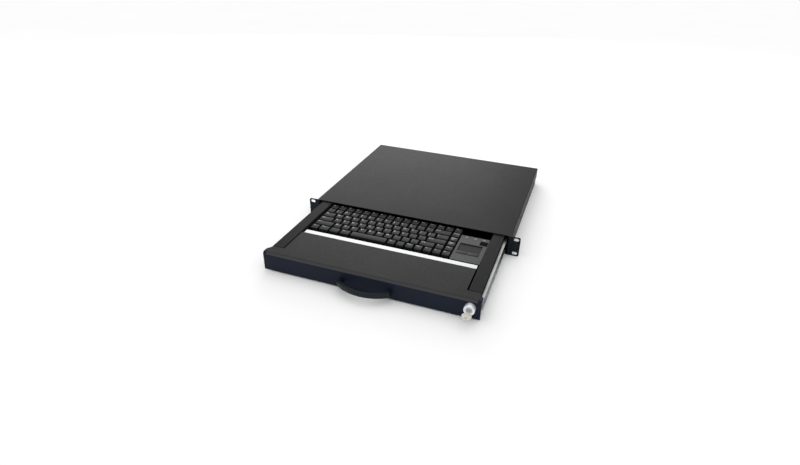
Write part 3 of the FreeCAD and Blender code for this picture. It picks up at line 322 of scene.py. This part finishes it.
bright_screw = plated_steel("bright_screw", (0.55, 0.56, 0.57), rough=0.32)
black_screw = plated_steel("black_screw", (0.055, 0.055, 0.06), rough=0.4)
side_screws("ear_screws", "case", "black_screw", black_screw, EAR_BITE, heads_out=True, along=1, up=2)
side_screws("cover_screws", "case", "black_screw", black_screw, SHEET_BITE, heads_out=True, along=2, up=1)
side_screws("slide_outer_screws", "case", "screw_steel", bright_screw, SHEET_BITE,
            heads_out=False, along=3, up=1)
side_screws("slide_inner_screws", "drawer", "screw_steel", bright_screw, SHEET_BITE,
            heads_out=True, along=3, up=1)
low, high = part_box("handle_screws")
screws("handle_screws", "drawer", "screw_steel", bright_screw, high.y - low.y - HEAD_HEIGHT,
       [("+Y", x, high.y - HEAD_HEIGHT, (low.z + high.z) / 2) for x in between(low.x, high.x, 2)])
low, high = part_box("keyboard_screws")
screws("keyboard_screws", "drawer", "screw_steel", bright_screw, high.z - low.z - HEAD_HEIGHT,
       [("-Z", x, y, low.z + HEAD_HEIGHT)
        for x in between(low.x, high.x, 2) for y in between(low.y, high.y, 2)])
low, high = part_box("cam_screw")
screws("cam_screw", "lock_core", "screw_steel", bright_screw, high.y - low.y - HEAD_HEIGHT,
       [("+Y", (low.x + high.x) / 2, high.y - HEAD_HEIGHT, (low.z + high.z) / 2)])

# Cable grommet: a moulded rubber ring in the rear wall, with a dull bloom on its lips.
# The slide bumpers are of the same rubber, pushed into the ends of the slides.
BUMPER_WIDE = 0.0078
BUMPER_EDGE = 0.0012


def soften(shape, edges, width, steps):
    """Round some edges of a bmesh."""
    bmesh.ops.bevel(shape, geom=edges, offset=width, segments=steps, profile=0.5,
                    affect="EDGES", material=-1)


rubber, tree, shader, place = nodes_of("moulded_rubber")
cloud(tree, shader.inputs["Base Color"], place, scale=160.0,
      low=(0.010, 0.010, 0.010), high=(0.022, 0.021, 0.020))
cloud(tree, shader.inputs["Roughness"], place, scale=420.0, low=0.62, high=0.8)
relief(tree, shader, noise_on(tree, place, 1800.0, detail=2.0), height=0.0001, strength=0.3)
dress(rubber, "cable_grommet")
low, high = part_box("slide_bumpers")
bumpers = bmesh.new()
for side in (-1, 1):
    middle = (side * (high.x - BUMPER_WIDE / 2), (low.y + high.y) / 2, (low.z + high.z) / 2)
    block(bumpers, (BUMPER_WIDE, high.y - low.y, high.z - low.z), middle)
soften(bumpers, bumpers.edges[:], BUMPER_EDGE, steps=3)
stubs = piece_from(bumpers, "slide_bumper_stubs", rubber, "case", "black_rubber", "slide_bumpers")
smooth_by_angle(stubs, degrees=40)

# Slides: roll-formed steel channels, zinc-plated, drawn bright along their length.
# A pressed cage keeps the polished balls apart between the fixed channel and the runner.


def drawn_zinc(name, colour, rough):
    """Plated strip with fine lines along Y and cloudy spangle."""
    material, tree, shader, place = nodes_of(name)
    cloud(tree, shader.inputs["Base Color"], place, scale=60.0, low=shade(colour, 0.78), high=colour)
    lines = noise_on(tree, place, 1.0, detail=4.0, stretch=(2200.0, 14.0, 2200.0))
    spread_between(tree, shader.inputs["Roughness"], lines, low=rough - 0.1, high=rough + 0.1)
    shader.inputs["Metallic"].default_value = 1.0
    relief(tree, shader, lines, height=0.00003, strength=0.35)
    return material


slide_zinc = drawn_zinc("slide_zinc", (0.50, 0.52, 0.51), rough=0.38)
dress(slide_zinc, "left_slide_outer", "right_slide_outer", "left_slide_inner", "right_slide_inner")
cage_zinc = drawn_zinc("cage_zinc", (0.46, 0.43, 0.34), rough=0.42)
dress(cage_zinc, "left_ball_cage", "right_ball_cage")
ball_polish = plated_steel("ball_polish", (0.80, 0.80, 0.81), rough=0.16)
dress(ball_polish, "slide_balls")

# Drawer tray: a folded sheet-steel pan that carries everything that pulls out.
# It is painted satin black and hangs between the runners of the slides, on their screws.
tray_paint = powder_coat("tray_paint", (0.0030, 0.0030, 0.0033),
                         rough=0.55, gloss=0.1, grain=1800.0, depth=0.25)
dress(tray_paint, "drawer_tray")

# Front fascia: a folded sheet-steel plate with satin blue-black paint.
# Four studs and nuts hold it to the front of the tray.
fascia_paint = powder_coat("fascia_paint", (0.0080, 0.0118, 0.0235),
                           rough=0.45, gloss=0.12, grain=2000.0, depth=0.22)
dress(fascia_paint, "front_fascia")
dress(bright_screw, "fascia_nuts", "lock_nut")

# Pull handle: a cast bow with softened edges, in a satin black coat.
# Two screws from behind the fascia hold its feet.
handle_coat = powder_coat("handle_coat", (0.0050, 0.0095, 0.0130),
                          rough=0.4, gloss=0.2, grain=1500.0, depth=0.25)
dress(handle_coat, "pull_handle")

# Lock: a turned, satin-chromed barrel with a plug, a pressed cam behind it, and a flat key.
# Nickel plate on the key is worn yellow in patches.


def satin_plate(name, colour, rough):
    """Satin-plated turning with faint swirl marks."""
    material, tree, shader, place = nodes_of(name)
    cloud(tree, shader.inputs["Base Color"], place, scale=320.0, low=shade(colour, 0.88), high=colour)
    cloud(tree, shader.inputs["Roughness"], place, scale=900.0, low=rough - 0.04, high=rough + 0.06)
    shader.inputs["Metallic"].default_value = 0.8
    return material


lock_chrome = satin_plate("lock_chrome", (0.90, 0.91, 0.95), rough=0.42)
dress(lock_chrome, "lock_barrel")
plug_chrome = satin_plate("plug_chrome", (0.50, 0.52, 0.58), rough=0.3)
dress(plug_chrome, "lock_plug")
dress(slide_zinc, "lock_cam")
key_nickel, tree, shader, place = nodes_of("key_nickel")
cloud(tree, shader.inputs["Base Color"], place, scale=130.0,
      low=(0.50, 0.48, 0.36), high=(0.66, 0.66, 0.64))
cloud(tree, shader.inputs["Roughness"], place, scale=800.0, low=0.22, high=0.38)
shader.inputs["Metallic"].default_value = 1.0
scratches = noise_on(tree, place, 1.0, detail=3.0, stretch=(300.0, 4000.0, 300.0))
relief(tree, shader, scratches, height=0.00003, strength=0.3)
dress(key_nickel, "lock_key")

# Deck: a folded palm rest with a smooth dark coat, and two side bars with a coarser, duller one.
# The coat is painted paler where the palm rest rolls down at its front: painted light on the roll.
ROLL_LIGHT_START = 0.0050
ROLL_LIGHT_FULL = 0.0010


def paint_light_along(material, axis, shaded_end, lit_end, colour):
    """Fade a finish to a paler one along an axis, as painted light, from its shaded end to its lit end.
    """
    tree = material.node_tree
    socket = tree.nodes["Principled BSDF"].inputs["Base Color"]
    finish = socket.links[0].from_socket
    place = tree.nodes.new("ShaderNodeTexCoord").outputs["Object"]
    split = tree.nodes.new("ShaderNodeSeparateXYZ")
    tree.links.new(place, split.inputs["Vector"])
    light_share = tree.nodes.new("ShaderNodeMapRange")
    light_share.inputs["From Min"].default_value = shaded_end
    light_share.inputs["From Max"].default_value = lit_end
    tree.links.new(split.outputs[axis], light_share.inputs["Value"])
    lit_tone = tree.nodes.new("ShaderNodeMix")
    lit_tone.data_type = "RGBA"
    lit_tone.inputs["B"].default_value = colour + (1.0,)
    tree.links.new(light_share.outputs["Result"], lit_tone.inputs["Factor"])
    tree.links.new(finish, lit_tone.inputs["A"])
    tree.links.new(lit_tone.outputs["Result"], socket)


rest_coat = powder_coat("rest_powder_coat", (0.0150, 0.0146, 0.0143), rough=0.5, gloss=0.14)
front_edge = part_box("palm_rest")[0].y
# Painted light: the front roll of the palm rest is painted paler than its top.
paint_light_along(rest_coat, "Y", front_edge + ROLL_LIGHT_START, front_edge + ROLL_LIGHT_FULL, (0.0500, 0.0500, 0.0525))
dress(rest_coat, "palm_rest")
bar_coat = powder_coat("bar_powder_coat", (0.0100, 0.0100, 0.0102),
                       rough=0.6, gloss=0.12, grain=900.0, depth=0.5)
dress(bar_coat, "left_side_cover", "right_side_cover")

# Trim strip: an extruded aluminium angle between the palm rest and the keys.
# It is brushed along its length and satin anodised.
strip_metal, tree, shader, place = nodes_of("brushed_aluminium")
brush = noise_on(tree, place, 1.0, detail=4.0, stretch=(10.0, 3000.0, 3000.0))
spread_between(tree, shader.inputs["Base Color"], brush, low=(0.58, 0.59, 0.60), high=(0.66, 0.67, 0.68))
spread_between(tree, shader.inputs["Roughness"], brush, low=0.34, high=0.48)
shader.inputs["Metallic"].default_value = 0.75
relief(tree, shader, brush, height=0.00003, strength=0.3)
dress(strip_metal, "trim_strip")

# Keyboard body: a black moulded base with a guide plate, screwed to the tray from below.
# Under the plate lie a printed membrane and a small board with green lacquer.


def moulded_plastic(name, colour, rough, gloss, grain=1600.0, depth=0.3):
    """Injection moulding with a spark-eroded grain."""
    material, tree, shader, place = nodes_of(name)
    cloud(tree, shader.inputs["Base Color"], place, scale=40.0,
          low=shade(colour, 0.9), high=shade(colour, 1.1))
    cloud(tree, shader.inputs["Roughness"], place, scale=500.0, low=rough - 0.06, high=rough + 0.06)
    relief(tree, shader, noise_on(tree, place, grain, detail=2.0), height=0.00008, strength=depth)
    shader.inputs["Specular IOR Level"].default_value = gloss
    return material


board_plastic = moulded_plastic("board_plastic", (0.0020, 0.0020, 0.0021), rough=0.6, gloss=0.05)
dress(board_plastic, "keyboard_base", "key_plate")
film = moulded_plastic("membrane_film", (0.30, 0.32, 0.32), rough=0.3, gloss=0.5, grain=300.0, depth=0.1)
dress(film, "switch_membrane")
lacquer = moulded_plastic("circuit_lacquer", (0.012, 0.085, 0.035),
                          rough=0.28, gloss=0.5, grain=700.0, depth=0.2)
dress(lacquer, "controller_board", "touchpad_board")

# Keycaps: moulded caps, tapered to a dished top with soft rims, on square stems in the guide plate.
# Like keys share one piece, as in the CAD model, and every group dips on its own springs.
# Their tops are painted paler than their skirts: painted light on the tops, painted shade on the skirts.
PITCH = 0.01905
CAP_HEIGHT = 0.0065
CAP_CORNER = 0.0016
CAP_RIM = 0.0005
SIDE_TAPER = 0.0015
FRONT_TAPER = 0.0016
BACK_TAPER = 0.0008
DISH = 0.0005
DISH_CUTS = 4
WIDEST_DISHED = 4
STEM_WIDE = 0.0056
TOP_LIGHT_START = 0.0017
TOP_LIGHT_FULL = 0.0009
low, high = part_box("escape_key")
GAP = PITCH - (high.x - low.x)
FIRST_X = low.x - GAP / 2
low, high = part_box("space_bar")
FIRST_Y = low.y - GAP / 2
TOP = high.z
SKIRT = TOP - CAP_HEIGHT
STEM = SKIRT - low.z
# Row from the front, left end and width in pitches, number of keys, and the axis that they follow.
RUNS = {
    "escape_key": [(5, 0, 1, 1, "X")],
    "function_row_keys": [(5, 1, 1, 15, "X")],
    "number_row_keys": [(4, 0, 1, 13, "X")],
    "backspace_key": [(4, 13, 2, 1, "X")],
    "tab_key": [(3, 0, 1.5, 1, "X")],
    "upper_letter_row_keys": [(3, 1.5, 1, 12, "X"), (3, 13.5, 1.5, 1, "X")],
    "caps_lock_key": [(2, 0, 1.75, 1, "X")],
    "home_letter_row_keys": [(2, 1.75, 1, 11, "X")],
    "enter_key": [(2, 12.75, 2.25, 1, "X")],
    "left_shift_key": [(1, 0, 2.25, 1, "X")],
    "lower_letter_row_keys": [(1, 2.25, 1, 10, "X")],
    "right_shift_key": [(1, 12.25, 1.75, 1, "X")],
    "modifier_row_keys": [(0, 0, 1, 1, "X"), (0, 1, 1.25, 3, "X"), (0, 9, 1, 4, "X")],
    "space_bar": [(0, 4.75, 4.25, 1, "X")],
    "arrow_keys": [(0, 13, 1, 3, "X"), (1, 14, 1, 1, "X")],
    "navigation_column_keys": [(1, 15, 1, 4, "Y")],
}


def half_skirt(units):
    """Half the width of a key at its foot."""
    return (units * PITCH - GAP) / 2


def half_top(units):
    """Half the width of a key at its top."""
    return half_skirt(units) - SIDE_TAPER


def dish_at(x, units):
    """How far the top lies under its rim level, across the key."""
    if units > WIDEST_DISHED:
        return 0.0
    return DISH * max(0.0, 1 - (x / half_top(units)) ** 2)


def keycap_mesh(units):
    """Cap of a width, middle of its skirt at the origin, on its stem."""
    shape = bmesh.new()
    cap = block(shape, (2 * half_skirt(units), 2 * half_skirt(1), CAP_HEIGHT), (0, 0, CAP_HEIGHT / 2))
    for vert in cap:
        if vert.co.z > CAP_HEIGHT / 2:
            vert.co.x -= math.copysign(SIDE_TAPER, vert.co.x)
            vert.co.y += FRONT_TAPER if vert.co.y < 0 else -BACK_TAPER
    uprights = [edge for edge in shape.edges
                if abs(edge.verts[0].co.z - edge.verts[1].co.z) > CAP_HEIGHT / 2]
    soften(shape, uprights, CAP_CORNER, steps=3)
    for step in range(1 - DISH_CUTS, DISH_CUTS):
        geom = shape.verts[:] + shape.edges[:] + shape.faces[:]
        cut_at = (step * half_top(units) / DISH_CUTS, 0, 0)
        bmesh.ops.bisect_plane(shape, geom=geom, dist=1e-7, plane_co=cut_at, plane_no=(1, 0, 0))
    rim_level = [vert for vert in shape.verts if vert.co.z > CAP_HEIGHT - WELD]
    upper = set(rim_level)
    rim = [edge for edge in shape.edges if upper.issuperset(edge.verts)
           and any(not upper.issuperset(face.verts) for face in edge.link_faces)]
    for vert in rim_level:
        vert.co.z -= dish_at(vert.co.x, units)
    soften(shape, rim, CAP_RIM, steps=2)
    block(shape, (STEM_WIDE, STEM_WIDE, STEM), (0, 0, -STEM / 2))
    return mesh_from(shape, "cap")


def places(runs):
    """Middle and width of every key of a group, in order."""
    found = []
    for row, left, units, count, way in runs:
        for step in range(count):
            column = left + units / 2 + (units * step if way == "X" else 0)
            line = row + 0.5 + (step if way == "Y" else 0)
            found.append((FIRST_X + PITCH * column, FIRST_Y + PITCH * line, units))
    return found


cap_plastic = moulded_plastic("cap_plastic", (0.0040, 0.0041, 0.0044),
                              rough=0.5, gloss=0.09, grain=2400.0, depth=0.25)
# Painted light and shade: each cap fades from a dark skirt to a paler top.
paint_light_along(cap_plastic, "Z", TOP - TOP_LIGHT_START, TOP - TOP_LIGHT_FULL, (0.0320, 0.0322, 0.0331))
cap_meshes = {}
for group, runs in RUNS.items():
    caps = bmesh.new()
    for x, y, units in places(runs):
        if units not in cap_meshes:
            cap_meshes[units] = keycap_mesh(units)
        bmesh.ops.translate(caps, vec=(x, y, SKIRT), verts=add_copy(caps, cap_meshes[units]))
    item = piece_from(caps, group + "_caps", cap_plastic, group + "_body", "key_plastic", group)
    smooth_by_angle(item, degrees=38)
for mesh in cap_meshes.values():
    bpy.data.meshes.remove(mesh)

# Legends: plain letters, digits and signs printed in off-white on the caps, at the upper left.
# They are thin ink, so each lies just above the dished top of its key.
LETTER_SIZE = 0.0068
PAIR_SIZE = 0.0049
WORD_SIZE = 0.0044
LINE_SPACE = 0.9
LEGEND_FROM_LEFT = 0.0016
LEGEND_BACK = 0.0066
INK_HEIGHT = 0.00003
LEGENDS = {
    "escape_key": ["Esc"],
    "function_row_keys": ["F%d" % number for number in range(1, 13)] + ["Num", "Ins", "Del"],
    "number_row_keys": ["\n".join(pair) for pair in zip("~!@#$%^&*()_+", "`1234567890-=")],
    "backspace_key": ["Back"],
    "tab_key": ["Tab"],
    "upper_letter_row_keys": list("QWERTYUIOP") + ["{\n[", "}\n]", "|\n\\"],
    "caps_lock_key": ["Caps"],
    "home_letter_row_keys": list("ASDFGHJKL") + [":\n;", "\"\n'"],
    "enter_key": ["Enter"],
    "left_shift_key": ["Shift"],
    "lower_letter_row_keys": list("ZXCVBNM") + ["<\n,", ">\n.", "?\n/"],
    "right_shift_key": ["Shift"],
    "modifier_row_keys": ["Fn", "Ctrl", "", "Alt", "Alt", "", "Menu", "Ctrl"],
    "arrow_keys": ["<", "v", ">", "^"],
    "navigation_column_keys": ["End", "Page\nDn", "Page\nUp", "Home"],
}


def letters_mesh(word):
    """Flat mesh of a legend, with single letters largest and whole words smallest."""
    letters = bpy.data.curves.new("legend", "FONT")
    letters.body = word
    letters.size = LETTER_SIZE if len(word) == 1 else PAIR_SIZE if "\n" in word else WORD_SIZE
    letters.space_line = LINE_SPACE
    letters.resolution_u = 2
    flat = put_in_scene("legend", letters)
    mesh = result_mesh(flat)
    bpy.data.objects.remove(flat)
    bpy.data.curves.remove(letters)
    return mesh


ink, tree, shader, place = nodes_of("legend_ink")
cloud(tree, shader.inputs["Base Color"], place, scale=600.0,
      low=(0.55, 0.56, 0.56), high=(0.68, 0.69, 0.69))
cloud(tree, shader.inputs["Roughness"], place, scale=1500.0, low=0.4, high=0.6)
for group, words in LEGENDS.items():
    print_lines = bmesh.new()
    for word, (x, y, units) in zip(words, places(RUNS[group])):
        if not word:
            continue
        mesh = letters_mesh(word)
        fresh = add_copy(print_lines, mesh)
        bpy.data.meshes.remove(mesh)
        left = min(vert.co.x for vert in fresh)
        back = max(vert.co.y for vert in fresh)
        for vert in fresh:
            across = vert.co.x - left - half_top(units) + LEGEND_FROM_LEFT
            height = TOP + INK_HEIGHT - dish_at(across, units)
            vert.co = (x + across, y + vert.co.y - back + LEGEND_BACK, height)
    piece_from(print_lines, group + "_legends", ink, group + "_body", "key_plastic")

# Touchpad panel: a grey moulding with a window for the stippled pad, two thin buttons and three lamps.
# It is set in beside the keys, with a dark inlay in the shallow recess at its right.
BUTTON_EDGE = 0.0005
INLAY_WIDE = 0.0152
INLAY_DEEP = 0.0160
INLAY_THICK = 0.0006
INLAY_EDGE = 0.0002
INLAY_FROM_RIGHT = 0.0014
INLAY_FROM_BACK = 0.0117
panel_plastic = moulded_plastic("panel_plastic", (0.0560, 0.0565, 0.0560),
                                rough=0.5, gloss=0.2, grain=2000.0)
dress(panel_plastic, "touchpad_bezel")
pad_film = moulded_plastic("pad_film", (0.0105, 0.0105, 0.0108),
                           rough=0.5, gloss=0.14, grain=3200.0, depth=0.5)
dress(pad_film, "touchpad_surface")
button_plastic = moulded_plastic("button_plastic", (0.0160, 0.0160, 0.0164), rough=0.45, gloss=0.16)
for body in ("touchpad_left", "touchpad_right"):
    name = body + "_button"
    low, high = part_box(name)
    button = bmesh.new()
    block(button, high - low, (low + high) / 2)
    soften(button, button.edges[:], BUTTON_EDGE, steps=3)
    item = piece_from(button, name + "_cap", button_plastic, body, "button_plastic", name)
    smooth_by_angle(item, degrees=40)
low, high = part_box("touchpad_bezel")
inlay = bmesh.new()
inlay_middle = (high.x - INLAY_FROM_RIGHT - INLAY_WIDE / 2, high.y - INLAY_FROM_BACK - INLAY_DEEP / 2,
                high.z - INLAY_THICK)
block(inlay, (INLAY_WIDE, INLAY_DEEP, INLAY_THICK), inlay_middle)
soften(inlay, inlay.edges[:], INLAY_EDGE, steps=2)
inlay_plastic = moulded_plastic("inlay_plastic", (0.0040, 0.0037, 0.0028), rough=0.7, gloss=0.03)
smooth_by_angle(piece_from(inlay, "recess_inlay", inlay_plastic, "drawer", "board_plastic"), degrees=40)
lamp_plastic = moulded_plastic("lamp_plastic", (0.30, 0.31, 0.28),
                               rough=0.25, gloss=0.5, grain=500.0, depth=0.1)
dress(lamp_plastic, "indicator_lenses")

# Studio: a pale paper floor under the case, and a white surround that is brightest overhead.
# A soft lamp stands behind the case, to its left.
FLOOR_REACH = 16.0
FLOOR_GAP = 0.0002
HORIZON_LIGHT = 0.35
OVERHEAD_LIGHT = 1.35
LAMP_PLACE = (-0.8, 2.0, 0.75)
LAMP_AIM = (-0.05, 0.15, 0.0)
floor_shape = bmesh.new()
bmesh.ops.create_grid(floor_shape, x_segments=1, y_segments=1, size=FLOOR_REACH)
bmesh.ops.translate(floor_shape, vec=(0, 0, cad_box[0][2] - FLOOR_GAP), verts=floor_shape.verts)
floor = put_in_scene("studio_floor", mesh_from(floor_shape, "studio_floor"))
paper, tree, shader, place = nodes_of("floor_paper")
cloud(tree, shader.inputs["Base Color"], place, scale=3.0,
      low=(0.965, 0.965, 0.965), high=(0.98, 0.98, 0.98))
shader.inputs["Roughness"].default_value = 0.9
floor.data.materials.append(paper)


def either(tree, first, second):
    """One where either of two kinds of ray is meant, and nought elsewhere."""
    total = tree.nodes.new("ShaderNodeMath")
    total.operation = "ADD"
    total.use_clamp = True
    tree.links.new(first, total.inputs[0])
    tree.links.new(second, total.inputs[1])
    return total.outputs["Value"]


world = bpy.data.worlds.new("studio")
bpy.context.scene.world = world
world.use_nodes = True
tree = world.node_tree
surround = tree.nodes["Background"]
surround.inputs["Color"].default_value = (1.0, 1.0, 1.0, 1.0)
rays = tree.nodes.new("ShaderNodeLightPath").outputs
mirrored = either(tree, rays["Is Glossy Ray"], rays["Is Transmission Ray"])
seen = either(tree, rays["Is Camera Ray"], mirrored)
heading = tree.nodes.new("ShaderNodeTexCoord").outputs["Generated"]
upward = tree.nodes.new("ShaderNodeSeparateXYZ")
tree.links.new(heading, upward.inputs["Vector"])
dome = tree.nodes.new("ShaderNodeMapRange")
dome.inputs["To Min"].default_value = HORIZON_LIGHT
dome.inputs["To Max"].default_value = OVERHEAD_LIGHT
tree.links.new(upward.outputs["Z"], dome.inputs["Value"])
level = tree.nodes.new("ShaderNodeMix")
level.inputs["B"].default_value = 1.0
tree.links.new(seen, level.inputs["Factor"])
tree.links.new(dome.outputs["Result"], level.inputs["A"])
tree.links.new(level.outputs["Result"], surround.inputs["Strength"])

lamp = bpy.data.lights.new("soft_lamp", "AREA")
lamp.shape = "RECTANGLE"
lamp.size = 1.4
lamp.size_y = 1.0
lamp.energy = 11.0
lamp_holder = put_in_scene("soft_lamp", lamp)
lamp_holder.location = LAMP_PLACE
toward_case = Vector(LAMP_AIM) - lamp_holder.location
lamp_holder.rotation_euler = toward_case.to_track_quat("-Z", "Y").to_euler()

# Camera: at the photograph's viewing angle, from the front right and above.
# Its place, turn and lens are fitted to the rack slots and the rows of keys.
EYE_PLACE = (0.32708, -0.96585, 0.56685)
EYE_RIGHT = Vector((0.93698, 0.34883, 0.01953))
EYE_DOWN = Vector((0.18957, -0.46065, -0.86710))
EYE_AHEAD = Vector((-0.29348, 0.81616, -0.49775))
eye = bpy.data.cameras.new("camera")
eye.sensor_width = 36.0
eye.lens = 24.05
eye.clip_start = 0.01
eye.clip_end = 50.0
camera = put_in_scene("camera", eye)
turn = Matrix((EYE_RIGHT, -EYE_DOWN, -EYE_AHEAD)).transposed()
camera.matrix_world = Matrix.Translation(EYE_PLACE) @ turn.to_4x4()
bpy.context.scene.camera = camera
bpy.context.scene.view_settings.view_transform = "Standard"
